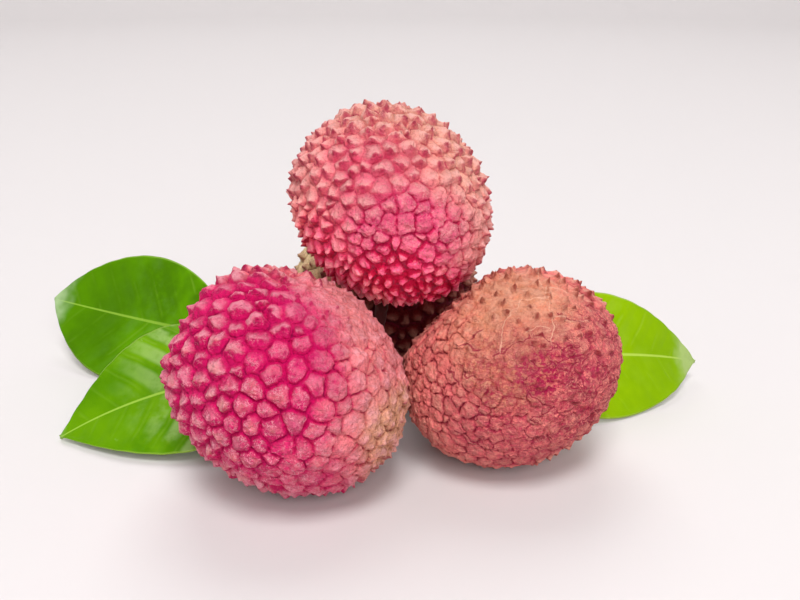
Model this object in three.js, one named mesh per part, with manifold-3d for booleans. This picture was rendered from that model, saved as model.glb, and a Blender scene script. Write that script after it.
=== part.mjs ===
// A bunch of lychees lying on a table: three fruits in a ring, a fourth resting on them, three leaves
// behind, and the woody stalk that carries them all, forked in the hollow between the fruits.
// Millimetres, +Z up. X runs to the right, Y away from the front, and the table is the plane Z = 0.
// The origin is the middle of the whole bunch's box, on the table.

import * as THREE from 'three';
import { ConvexHull } from 'three/addons/math/ConvexHull.js';
import { mergeVertices } from 'three/addons/utils/BufferGeometryUtils.js';
import Module from 'manifold-3d';

const wasm = await Module();
wasm.setup();

// ---- Driving dimensions ----

// Fruits: a fruit is an uneven egg whose long and short half-axes lie in a plane that leans back.
const LEAN = 20; // degrees from upright, of that plane
const BUMPS = 440; // tubercles on one fruit
const BUMP_SCATTER = 0.4; // how far a tubercle starts from an even spacing, in spacings
const EVENING_ROUNDS = 2; // times that crowded tubercles push each other apart
const SHOULDER_ROUNDING = 2.2; // width of the blend into a flattened side
const STEM_DIMPLE_DEPTH = 1.4;
const STEM_DIMPLE_ANGLE = 20; // degrees from the stem axis to the dimple's rim
const SETTLE = 0.3; // how much of the lowest tubercle tips is pressed flat by the table
const MEETING_GAP = 0.3; // between pieces that touch

// half: long, short and fore-and-aft half-axes over the tips. tilt: of the long axis, degrees.
// relief: height of a tip over the grooves round it. flat: a side flattened by its neighbour.
const FRUITS = [
  {
    name: 'fruit_left', centre: [-17.5, -27.2, 17.4], half: [19.6, 16.3, 18.1], tilt: -33,
    relief: 1.1, flat: { toward: [-0.86, 0.18, 0.48], from: 16.4 }, seed: 1, colour: '#c93a63',
  },
  {
    name: 'fruit_right', centre: [17.6, -18.9, 16.0], half: [17.8, 15.5, 16.5], tilt: 25,
    relief: 0.8, flat: { toward: [-0.68, 0.25, 0.69], from: 13.4 }, seed: 2, colour: '#bb6456',
  },
  {
    name: 'fruit_top', centre: [-1.4, -9.5, 39.7], half: [17.0, 15.4, 16.3], tilt: 137,
    relief: 1.1, flat: null, seed: 3, colour: '#cc5566',
  },
  {
    name: 'fruit_back', centre: [-3.0, 16.0, 17.2], half: [17.7, 17.2, 17.4], tilt: 10,
    relief: 1.0, flat: null, seed: 4, colour: '#b5705a',
  },
];

// Leaves: base is where the blade starts, yaw, pitch and roll aim it, and it droops along an arc.
const BLADE_THICKNESS = 0.5;
const PETIOLE_RADIUS = 0.8;
const TIP_HALF_WIDTH = 0.35;
const BLADE_STEPS = 20; // along the blade
const PETIOLE_STEPS = 3;
const WIDTH_STEPS = 6; // across the blade
const PETIOLE_FADE = 0.18; // share of the blade over which the petiole thins into the midrib

const LEAVES = [
  {
    name: 'leaf_upper_left', base: [-29.8, 4.3, 10.7], yaw: 146.3, pitch: -4.7, roll: -52,
    length: 45.3, halfWidth: 12.8, droop: -16, fold: 4.8, baseTaper: 0.95, tipTaper: 0.81,
    petiole: 8, colour: '#4f8f12',
  },
  {
    name: 'leaf_lower_left', base: [-21, -3, 6.8], yaw: 208.4, pitch: 12.1, roll: -27.7,
    length: 39.7, halfWidth: 13.6, droop: 48.3, fold: 3.9, baseTaper: 0.81, tipTaper: 1.09,
    petiole: 5, colour: '#6fae1c',
  },
  {
    name: 'leaf_right', base: [19.4, -2.4, 9.5], yaw: -4.9, pitch: 8.7, roll: 54.8,
    length: 41.5, halfWidth: 11.6, droop: 59.6, fold: 1, baseTaper: 0.71, tipTaper: 1.08,
    petiole: 4.5, colour: '#8cc81a',
  },
];

// Stalk: the axis lies on the table behind the right fruit and rises to a fork in the hollow.
const FORK = new THREE.Vector3(-5, -5.5, 8.5);
const AXIS_RADIUS = 1.8;
const AXIS_REST_Z = 1.95; // of the axis's middle line where it lies on the table
const FORK_RADIUS = 2.1;
const PEDICEL_RADIUS = 1.05;
const TWIG_RADIUS = 0.95;
const TWIG_APPROACH = 1.8; // length of a twig that lies in line with its leaf's petiole
const CALYX_RADIUS = 1.7; // the button where a pedicel meets its fruit
const CALYX_HEIGHT = 1.2;
const CALYX_STANDOFF = 0.9; // from the floor of the stem dimple
const LEFT_TWIG_FORK = new THREE.Vector3(-11.5, -1, 6.4);
const RIGHT_TWIG_ROOT = new THREE.Vector3(2.5, -3.4, 6.4);
const AXIS_ROUTE = [
  FORK,
  RIGHT_TWIG_ROOT,
  new THREE.Vector3(10, 2.5, 3),
  new THREE.Vector3(16, 11, AXIS_REST_Z),
  new THREE.Vector3(21.5, 21, AXIS_REST_Z),
  new THREE.Vector3(26, 32, AXIS_REST_Z),
];
const BARK_COLOUR = '#6b4a33';

// ---- Geometry helpers ----

/** Repeatable number from 0 to 1 for item i of a fruit. */
function scatter(i, seed) {
  const wave = Math.sin(i * 12.9898 + seed * 78.233) * 43758.5453;
  return wave - Math.floor(wave);
}

/** 0 below low, 1 above high, and a smooth ramp between. */
function ramp(low, high, value) {
  return THREE.MathUtils.smoothstep(value, low, high);
}

/** The smaller of two lengths, blended where they are within width of each other. */
function blendedMin(a, b, width) {
  const share = THREE.MathUtils.clamp(0.5 + (0.5 * (b - a)) / width, 0, 1);
  return THREE.MathUtils.lerp(b, a, share) - width * share * (1 - share);
}

/** Closed geometry from corner points and triangles. */
function geometryOf(points, triangles) {
  const geometry = new THREE.BufferGeometry();
  geometry.setAttribute('position', new THREE.Float32BufferAttribute(points, 3));
  geometry.setIndex(triangles);
  return geometry;
}

/** A geometry stripped to its positions, with shared corners merged. */
function merged(geometry) {
  geometry.deleteAttribute('normal');
  geometry.deleteAttribute('uv');
  return mergeVertices(geometry, 1e-4);
}

/** Boolean solid of a closed geometry. */
function toSolid(geometry) {
  const closed = merged(geometry);
  return new wasm.Manifold(new wasm.Mesh({
    numProp: 3,
    vertProperties: new Float32Array(closed.attributes.position.array),
    triVerts: new Uint32Array(closed.index.array),
  }));
}

/** Geometry of a boolean solid. */
function fromSolid(solid) {
  const mesh = solid.getMesh();
  return geometryOf(Array.from(mesh.vertProperties), Array.from(mesh.triVerts));
}

/** Named mesh with its own finish. */
function piece(name, geometry, colour, roughness) {
  const finish = new THREE.MeshStandardMaterial({ color: colour, roughness, metalness: 0 });
  const mesh = new THREE.Mesh(geometry, finish);
  mesh.name = name;
  return mesh;
}

// ---- Fruits ----

/** Turn from a fruit's own axes (long, short, fore-and-aft) to the bunch's. */
function fruitTurn(fruit) {
  const lean = THREE.MathUtils.degToRad(90 - LEAN);
  const tilt = THREE.MathUtils.degToRad(fruit.tilt);
  return new THREE.Quaternion().setFromEuler(new THREE.Euler(lean, 0, tilt, 'XYZ'));
}

/** Unit vector from a fruit's centre to its stem end, which faces the fork. */
function stemDirection(fruit) {
  return FORK.clone().sub(new THREE.Vector3(...fruit.centre)).normalize();
}

/** Distance from a fruit's centre to its skin over the tips, in a direction. */
function skinRadius(fruit, direction) {
  const own = direction.clone().applyQuaternion(fruitTurn(fruit).invert());
  const [long, short, deep] = fruit.half;
  let radius = 1 / Math.hypot(own.x / long, own.y / short, own.z / deep);
  if (fruit.flat) {
    const facing = direction.dot(new THREE.Vector3(...fruit.flat.toward).normalize());
    const plane = fruit.flat.from / Math.max(facing, 0.2);
    radius = blendedMin(radius, plane, SHOULDER_ROUNDING);
  }
  const offStem = THREE.MathUtils.radToDeg(direction.angleTo(stemDirection(fruit)));
  return radius - STEM_DIMPLE_DEPTH * (1 - ramp(0, STEM_DIMPLE_ANGLE, offStem));
}

/** Tips pushed apart where they crowd: each moves to the middle of the grooves round it. */
function evened(tips) {
  const middles = new Map(tips.map((tip) => [tip, new THREE.Vector3()]));
  for (const face of new ConvexHull().setFromPoints(tips).faces) {
    let edge = face.edge;
    do {
      middles.get(edge.tail().point).add(face.normal);
      edge = edge.next;
    } while (edge !== face.edge);
  }
  return [...middles.values()].map((middle) => middle.normalize());
}

/** Directions of a fruit's tubercle tips: a spiral, with each tip nudged off its place. */
function tipDirections(fruit) {
  const spacing = Math.sqrt((4 * Math.PI) / BUMPS);
  const golden = Math.PI * (1 + Math.sqrt(5));
  let tips = [];
  for (let i = 0; i < BUMPS; i += 1) {
    const polar = Math.acos(1 - (2 * (i + 0.5)) / BUMPS);
    const tip = new THREE.Vector3().setFromSphericalCoords(1, polar, golden * i);
    const nudge = new THREE.Vector3(
      scatter(3 * i, fruit.seed) - 0.5,
      scatter(3 * i + 1, fruit.seed) - 0.5,
      scatter(3 * i + 2, fruit.seed) - 0.5,
    );
    tips.push(tip.addScaledVector(nudge, 2 * BUMP_SCATTER * spacing).normalize());
  }
  for (let round = 0; round < EVENING_ROUNDS; round += 1) {
    tips = evened(tips);
  }
  return tips;
}

/** Skin of pyramids: one tip a tubercle, and grooves where three tubercles meet. */
function tubercledSkin(fruit) {
  const hull = new ConvexHull().setFromPoints(tipDirections(fruit));
  const corners = new Map();
  const points = [];
  const cornerOf = (key, direction, depth) => {
    if (!corners.has(key)) {
      corners.set(key, points.length / 3);
      points.push(...direction.clone().multiplyScalar(skinRadius(fruit, direction) - depth));
    }
    return corners.get(key);
  };
  const triangles = [];
  for (const face of hull.faces) {
    let edge = face.edge;
    do {
      const across = edge.twin.face;
      triangles.push(
        cornerOf(edge.tail(), edge.tail().point, 0),
        cornerOf(across, across.normal, fruit.relief),
        cornerOf(face, face.normal, fruit.relief),
      );
      edge = edge.next;
    } while (edge !== face.edge);
  }
  return geometryOf(points, triangles);
}

/** One fruit, with the tips that reach the table pressed flat. */
function fruitMesh(fruit) {
  let skin = tubercledSkin(fruit);
  skin.computeBoundingBox();
  const centre = new THREE.Vector3(...fruit.centre);
  const rests = fruit.name !== 'fruit_top';
  if (rests) {
    centre.z = -skin.boundingBox.min.z - SETTLE;
    const span = 4 * fruit.half[0];
    const below = new THREE.BoxGeometry(span, span, span).translate(0, 0, -centre.z - span / 2);
    skin = fromSolid(toSolid(skin).subtract(toSolid(below)));
  }
  const mesh = piece(fruit.name, skin, fruit.colour, 0.6);
  mesh.position.copy(centre);
  return mesh;
}

// ---- Leaves ----

/** Half-width of a blade at a share of its length. */
function bladeHalfWidth(leaf, share) {
  const { baseTaper, tipTaper } = leaf;
  const widest = baseTaper / (baseTaper + tipTaper);
  const outline = (u) => u ** baseTaper * (1 - u) ** tipTaper;
  return (leaf.halfWidth * outline(share)) / outline(widest);
}

/** One corner of a leaf: step along it, place across it from -1 to 1, and upper or lower side. */
function leafPoint(leaf, step, across, side) {
  const share = (step - PETIOLE_STEPS) / BLADE_STEPS;
  const onPetiole = share < 0;
  const along = onPetiole ? (leaf.petiole * (step - PETIOLE_STEPS)) / PETIOLE_STEPS : leaf.length * share;
  const bend = THREE.MathUtils.degToRad(leaf.droop) / leaf.length;
  const turned = Math.max(along, 0) * bend;
  const fold = THREE.MathUtils.degToRad(leaf.fold);
  const fade = 1 - ramp(0, PETIOLE_FADE, share);
  const narrowest = THREE.MathUtils.lerp(TIP_HALF_WIDTH, PETIOLE_RADIUS, fade);
  const width = Math.max(onPetiole ? 0 : bladeHalfWidth(leaf, share), narrowest);
  const thickness = THREE.MathUtils.lerp(BLADE_THICKNESS, 2 * PETIOLE_RADIUS, fade);
  const lift = Math.abs(across) * width * Math.sin(fold) + (side * thickness) / 2;
  const chordX = onPetiole ? along : Math.sin(turned) / bend;
  const chordZ = onPetiole ? 0 : (Math.cos(turned) - 1) / bend;
  return new THREE.Vector3(
    chordX + lift * Math.sin(turned),
    across * width * Math.cos(fold),
    chordZ + lift * Math.cos(turned),
  );
}

/** One leaf with its petiole: a thin closed blade bent along an arc. */
function leafMesh(leaf) {
  const steps = PETIOLE_STEPS + BLADE_STEPS;
  const blade = merged(new THREE.BoxGeometry(1, 2, 2, steps, WIDTH_STEPS, 1));
  const place = blade.attributes.position;
  for (let i = 0; i < place.count; i += 1) {
    const step = Math.round((place.getX(i) + 0.5) * steps);
    const corner = leafPoint(leaf, step, place.getY(i), place.getZ(i));
    place.setXYZ(i, corner.x, corner.y, corner.z);
  }
  const mesh = piece(leaf.name, blade, leaf.colour, 0.45);
  mesh.position.set(...leaf.base);
  mesh.rotation.set(
    THREE.MathUtils.degToRad(leaf.roll),
    THREE.MathUtils.degToRad(-leaf.pitch),
    THREE.MathUtils.degToRad(leaf.yaw),
    'ZYX',
  );
  return mesh;
}

// ---- Stalk ----

/** Round twig along a curve, with an even number of sides. */
function twig(route, radius, steps, sides) {
  const section = new THREE.Shape().absarc(0, 0, radius, 0, 2 * Math.PI);
  return toSolid(new THREE.ExtrudeGeometry(section, {
    steps,
    curveSegments: sides / 2,
    bevelEnabled: false,
    extrudePath: route,
  }));
}

/** Pedicel from the fork to a fruit, ending in the calyx button over the stem dimple. */
function pedicel(fruit, centre) {
  const toFork = stemDirection(fruit);
  const reach = skinRadius(fruit, toFork) + CALYX_STANDOFF;
  const button = centre.clone().addScaledVector(toFork, reach);
  const route = new THREE.LineCurve3(FORK, button.clone().addScaledVector(toFork, CALYX_HEIGHT / 2));
  const turn = new THREE.Quaternion().setFromUnitVectors(new THREE.Vector3(0, 1, 0), toFork);
  const profile = [
    new THREE.Vector2(0, 0),
    new THREE.Vector2(CALYX_RADIUS, 0),
    new THREE.Vector2(CALYX_RADIUS, CALYX_HEIGHT / 3),
    new THREE.Vector2(PEDICEL_RADIUS, CALYX_HEIGHT),
    new THREE.Vector2(0, CALYX_HEIGHT),
  ];
  const calyx = new THREE.LatheGeometry(profile, 10).applyQuaternion(turn);
  calyx.translate(button.x, button.y, button.z);
  return twig(route, PEDICEL_RADIUS, 3, 8).add(toSolid(calyx));
}

/** Last stretch of a leaf's twig: in line with the petiole, and stopping just short of it. */
function petioleApproach(mesh, leaf) {
  mesh.updateMatrix();
  const stop = -leaf.petiole - MEETING_GAP;
  return [stop - TWIG_APPROACH, stop].map((x) => new THREE.Vector3(x, 0, 0).applyMatrix4(mesh.matrix));
}

/** The whole stalk, joined in one solid. */
function stalkMesh(fruits, leaves) {
  const axis = twig(new THREE.CatmullRomCurve3(AXIS_ROUTE), AXIS_RADIUS, 16, 10);
  const knot = new THREE.IcosahedronGeometry(FORK_RADIUS, 1).translate(FORK.x, FORK.y, FORK.z);
  let stalk = axis.add(toSolid(knot));
  FRUITS.forEach((fruit, i) => {
    stalk = stalk.add(pedicel(fruit, fruits[i].position));
  });
  const [upper, lower, right] = LEAVES.map((leaf, i) => petioleApproach(leaves[i], leaf));
  const routes = [
    [FORK, LEFT_TWIG_FORK, ...upper],
    [LEFT_TWIG_FORK, ...lower],
    [RIGHT_TWIG_ROOT, ...right],
  ];
  for (const route of routes) {
    stalk = stalk.add(twig(new THREE.CatmullRomCurve3(route), TWIG_RADIUS, 10, 8));
  }
  return piece('stalk', fromSolid(stalk), BARK_COLOUR, 0.85);
}

// ---- The bunch ----

const bunch = new THREE.Group();
const fruitMeshes = FRUITS.map(fruitMesh);
const leafMeshes = LEAVES.map(leafMesh);
bunch.add(...fruitMeshes, ...leafMeshes, stalkMesh(fruitMeshes, leafMeshes));

const middle = new THREE.Box3().setFromObject(bunch, true).getCenter(new THREE.Vector3());
bunch.position.set(-middle.x, -middle.y, 0);

export default bunch;
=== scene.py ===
"""Visual model of a bunch of lychees: four warty fruits, three leaves and the woody stalk.

A fruit's rind is one closed skin. Its tubercles are the cells of a net laid over an uneven egg, and
each cell rises from the grooves round it to a plate or a point. The skin carries masks (how high a
spot stands, how far it is from a groove, where it is blushed, tan or dusty), and the finishes turn
them into colour. Lengths in the classes are millimetres, and meshes are made in metres.
"""

from __future__ import annotations

import logging
import math
from collections.abc import Iterable
from dataclasses import dataclass
from enum import Enum
from functools import reduce

import bmesh
import bpy
import numpy as np
from mathutils import Euler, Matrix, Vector

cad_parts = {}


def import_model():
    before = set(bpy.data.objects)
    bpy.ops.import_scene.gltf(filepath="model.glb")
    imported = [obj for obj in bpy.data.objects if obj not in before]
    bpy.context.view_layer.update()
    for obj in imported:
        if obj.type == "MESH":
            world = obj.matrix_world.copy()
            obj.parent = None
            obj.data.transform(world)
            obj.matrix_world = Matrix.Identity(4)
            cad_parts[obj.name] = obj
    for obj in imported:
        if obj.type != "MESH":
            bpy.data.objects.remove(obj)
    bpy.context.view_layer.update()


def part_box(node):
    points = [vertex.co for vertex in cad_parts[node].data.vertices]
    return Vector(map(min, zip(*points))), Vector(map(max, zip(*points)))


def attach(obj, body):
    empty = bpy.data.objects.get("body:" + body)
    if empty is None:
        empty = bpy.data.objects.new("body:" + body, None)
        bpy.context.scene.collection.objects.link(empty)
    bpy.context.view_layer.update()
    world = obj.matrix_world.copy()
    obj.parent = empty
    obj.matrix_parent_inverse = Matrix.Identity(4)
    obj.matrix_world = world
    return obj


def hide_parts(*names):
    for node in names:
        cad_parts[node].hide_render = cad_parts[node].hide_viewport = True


LOG = logging.getLogger("lychees")
MM = 0.001
BODY = "root"
LEAN = math.radians(20)  # the plane in which a fruit's long and short axes lie leans back by this
FORK = (-5.0, -5.5, 8.5)  # where the stalk forks, in the hollow between the fruits
WANDER, WANDER_SCALE = 9.0, 7 / 17  # degrees by which a patch's rim wanders, over this many radians
TRIES = 26000  # random directions among which a fruit's tubercles are picked
MOST = 1500  # more tubercles than any fruit has
JOIN = 0.0022  # groove corners nearer than this, in radians, become one
WELD = 1e-6  # net corners nearer than this become one
CORNER = 0.1  # how widely a tubercle's corners are rounded
SETTLE = 0.3  # how much of the lowest tubercles is pressed flat
INNER = 0.25  # how far inside the skin the egg lies that is fitted to the solid's box
FELT = 0.35  # share of a stroke's reach within which it is felt in full
VEIN_SLANT, VEIN_CURVE = 0.62, 0.012  # how far a leaf's side veins lean back, and how they bend
VEIN_STAGGER, VEIN_SPACING = 1.5, 5.2  # how far one side's are ahead of the other's, and apart
CM = 10  # leaf masks are in centimetres

Array = np.ndarray
Rng = np.random.Generator
Triple = tuple[float, float, float]
Tube = tuple[np.ndarray, np.ndarray]
Object = bpy.types.Object
Material = bpy.types.Material
Tree = bpy.types.NodeTree
Socket = bpy.types.NodeSocket
Feed = Socket | float | tuple


# ---- Small helpers ----


def paint(code: str) -> tuple[float, float, float, float]:
    """Linear colour of a six-digit screen colour.

    Args:
        code: Colour such as "#c93a63".

    Returns:
        Red, green, blue and alpha, linear.
    """
    parts = [int(code[i : i + 2], 16) / 255 for i in (1, 3, 5)]
    linear = [c / 12.92 if c <= 0.04045 else ((c + 0.055) / 1.055) ** 2.4 for c in parts]
    return (*linear, 1.0)


def unit(vectors: Array) -> Array:
    """Vectors scaled to length one."""
    return vectors / np.linalg.norm(vectors, axis=-1, keepdims=True)


def dots(first: Array, second: Array) -> Array:
    """Dot product of each pair of rows."""
    return np.einsum("ic,ic->i", first, second)


def square_to(vectors: Array, axes: Array) -> Array:
    """Vectors with what runs along their unit axes taken out."""
    return vectors - dots(vectors, axes)[:, None] * axes


def degrees_off(ways: Array, way: Array) -> Array:
    """Angle of each direction from one."""
    return np.degrees(np.arccos(np.clip(ways @ way, -1, 1)))


def bell(values: Array, width: float) -> Array:
    """Bell curve of height 1, a third as high at the width."""
    return np.exp(-((values / width) ** 2))


def ramp(low: float, high: float, values: Array) -> Array:
    """Smooth ramp, 0 at low and 1 at high."""
    share = np.clip((values - low) / (high - low), 0, 1)
    return share * share * (3 - 2 * share)


def leaning(across: float, up: float, out: float) -> Array:
    """Direction in the fruits' leaning frame: to the right, up the leaning plane, and out of it."""
    sine, cosine = math.sin(LEAN), math.cos(LEAN)
    return unit(np.array([across, up * sine - out * cosine, up * cosine + out * sine]))


def lattice_value(corner: Array, seed: int) -> Array:
    """Repeatable number for each whole-number point of a lattice.

    Args:
        corner: The points, one a row.
        seed: Which set of numbers.

    Returns:
        One number a point, from -1 to 1.
    """
    mixed = corner.astype(np.int64) @ np.array([73856093, 19349663, 83492791]) + seed * 2654435761
    for shift, factor in ((13, 1274126177), (16, 668265263)):
        mixed = (mixed ^ (mixed >> shift)) * factor & 0xFFFFFFFF
    return (mixed ^ (mixed >> 15)).astype(float) % 65536 / 32767.5 - 1


def clouds(points: Array, scale: float, seed: int) -> Array:
    """Smooth random field.

    Args:
        points: Places, one a row.
        scale: Distance over which the field changes.
        seed: Which field.

    Returns:
        One value a point, from -1 to 1.
    """
    place = points / scale
    base = np.floor(place)
    share = ramp(0, 1, place - base)
    total = np.zeros(len(points))
    for corner in np.ndindex(2, 2, 2):
        weight = np.prod(np.where(np.array(corner) == 1, share, 1 - share), axis=1)
        total += weight * lattice_value(base + corner, seed)
    return total


def rough_clouds(points: Array, scale: float, seed: int, octaves: int = 3) -> Array:
    """Sum of ever finer random fields.

    Args:
        points: Places, one a row.
        scale: Distance over which the coarsest field changes.
        seed: Which field.
        octaves: Number of fields.

    Returns:
        One value a point, mostly from -1 to 1.
    """
    total = np.zeros(len(points))
    for step in range(octaves):
        total += clouds(points, scale / 2**step, seed + 17 * step) / 2**step
    return total / 1.4


def swirl(points: Array, scale: float, seed: int) -> Array:
    """Smooth random field of vectors, as clouds() gives numbers."""
    return np.stack([clouds(points, scale, seed + axis) for axis in range(3)], axis=1)


def strokes(points: Array, starts: Array, ends: Array, reach: float) -> tuple[Array, Array]:
    """Short lines drawn over a round surface.

    Args:
        points: Places on the surface, measured from its middle, one a row.
        starts: One end of each line.
        ends: Its other end.
        reach: How far from a line it is still felt.

    Returns:
        Distance from the nearest line, negative on one side of it, and how strongly it is felt,
        from 0 to 1.
    """
    off, felt = np.full(len(points), reach), np.zeros(len(points))
    for start, end in zip(starts, ends):
        way = end - start
        from_middle = np.linalg.norm(points - (start + end) / 2, axis=1)
        close = np.flatnonzero(from_middle < np.linalg.norm(way) / 2 + reach)
        near = points[close]
        share = np.clip((near - start) @ way / (way @ way), 0, 1)
        gap = square_to(near - start - share[:, None] * way, unit(near))
        side = np.sign(gap @ np.cross(way, start + end))
        gap = np.linalg.norm(gap, axis=1)
        strength = 1 - ramp(FELT, 1, gap / reach)
        nearer = strength > felt[close]
        felt[close[nearer]] = strength[nearer]
        off[close[nearer]] = (side * gap)[nearer]
    return off, felt


def make_mesh(name: str, points: Array, faces: Array, masks: dict[str, Array]) -> Object:
    """Smooth-shaded object from arrays.

    Args:
        name: Name of the object.
        points: Corners in millimetres, one a row.
        faces: Corner numbers of each triangle, one a row.
        masks: One value a corner for each named mask.

    Returns:
        The new object, linked to the scene.
    """
    mesh = bpy.data.meshes.new(name)
    mesh.vertices.add(len(points))
    mesh.vertices.foreach_set("co", (points * MM).astype(np.float32).ravel())
    mesh.loops.add(faces.size)
    mesh.loops.foreach_set("vertex_index", faces.astype(np.int32).ravel())
    mesh.polygons.add(len(faces))
    mesh.polygons.foreach_set("loop_start", np.arange(0, faces.size, 3, dtype=np.int32))
    mesh.polygons.foreach_set("use_smooth", np.ones(len(faces), bool))
    mesh.update(calc_edges=True)
    mesh.validate()
    for mask, values in masks.items():
        layer = mesh.attributes.new(mask, "FLOAT", "POINT")
        layer.data.foreach_set("value", values.astype(np.float32))
    made = bpy.data.objects.new(name, mesh)
    bpy.context.collection.objects.link(made)
    return made


def seat(points: Array, node: str, body: Array | None = None, sunk: float = 0.0) -> Array:
    """Points moved and scaled a little, so that they fill a CAD node's box.

    Args:
        points: Places in millimetres, one a row.
        node: Name of the CAD node.
        body: Places whose box is fitted to the node's, if not the points themselves.
        sunk: How far the box reaches below the node's, to be pressed flat there.

    Returns:
        The moved points.
    """
    body = points if body is None else body
    low, high = (np.array(corner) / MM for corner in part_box(node))
    share = (points - body.min(0)) / np.ptp(body, axis=0)
    base = low - (0.0, 0.0, sunk)
    placed = base + share * (high - base)
    placed[:, 2] = np.maximum(placed[:, 2], low[2])
    return placed


def hull_triangles(points: Array) -> Array:
    """Triangles of the convex hull of points round the origin.

    Args:
        points: Places, one a row.

    Returns:
        Point numbers of each triangle, counterclockwise seen from outside.
    """
    shell = bmesh.new()
    for point in points:
        shell.verts.new(point)
    shell.verts.index_update()
    bmesh.ops.convex_hull(shell, input=shell.verts[:])
    bmesh.ops.triangulate(shell, faces=shell.faces[:])
    faces = np.array([[corner.index for corner in face.verts] for face in shell.faces])
    shell.free()
    inward = dots(face_ways(points, faces), points[faces[:, 0]]) < 0
    faces[inward] = faces[inward][:, ::-1]
    return faces


def face_ways(points: Array, faces: Array) -> Array:
    """Unit normal of each triangle."""
    a, b, c = (points[faces[:, i]] for i in range(3))
    return unit(np.cross(b - a, c - a))


def tube_faces(rings: int, around: int) -> Array:
    """Triangles of a closed tube, whose corners come ring by ring and then the two ends' middles.

    Args:
        rings: Number of rings.
        around: Corners in a ring.

    Returns:
        Corner numbers of each triangle: the sides', the first end's and the last end's.
    """
    loop = np.arange(around)
    after = (loop + 1) % around
    top = (rings - 1) * around
    faces = []
    for low in range(0, top, around):
        high = low + around
        faces += [(loop + low, after + low, after + high), (loop + low, after + high, loop + high)]
    middle = np.full(around, rings * around)
    faces += [(after, loop, middle), (loop + top, after + top, middle + 1)]
    return np.vstack([np.stack(face, axis=1) for face in faces])


# ---- Rind ----


class Trait(Enum):
    """What sets a stretch of rind apart. The value names its mask."""

    PLATED = "plated"  # tubercles end in a plate, not a point
    FINE = "fine"  # smaller tubercles
    COARSE = "coarse"  # larger tubercles
    SMOOTH = "smooth"  # low tubercles that have merged, with only their tips left
    OPEN = "open"  # plates stand apart, with ground showing between them
    WRINKLED = "wrinkled"  # dried into crosswise wrinkles
    BLUSH = "blush"  # magenta, and on fruit_back near-black painted shade
    TAN = "tan"  # yellowish brown
    DUSTY = "dusty"  # greyish flecks
    CRIMSON = "crimson"  # deep red ground, and on fruit_back near-black painted shade


@dataclass(frozen=True)
class Patch:
    """A round stretch of rind with a trait.

    toward is (across, up, out) from the fruit's middle. reach and fade are degrees: where the trait
    is at half strength, and over how much it fades.
    """

    trait: Trait
    toward: Triple
    reach: float
    fade: float = 20.0
    strength: float = 1.0

    def mask(self, ways: Array, wander: Array) -> Array:
        """Strength of the trait in each direction, with its rim pushed out by wander degrees."""
        past = degrees_off(ways, leaning(*self.toward)) - wander - self.reach
        return self.strength * (1 - ramp(-self.fade / 2, self.fade / 2, past))


@dataclass
class Net:
    """Fine mesh whose lines follow the grooves and ridges of a fruit's tubercles."""

    ways: Array  # direction of each corner
    triangles: Array
    owner: Array  # number of each corner's tubercle
    peaks: Array  # direction of each tubercle's peak
    steep: Array  # where its steep side faces
    walls: Array  # normals of the planes that part it from its neighbours
    missing: Array  # which rows of walls it doesn't have


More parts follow.
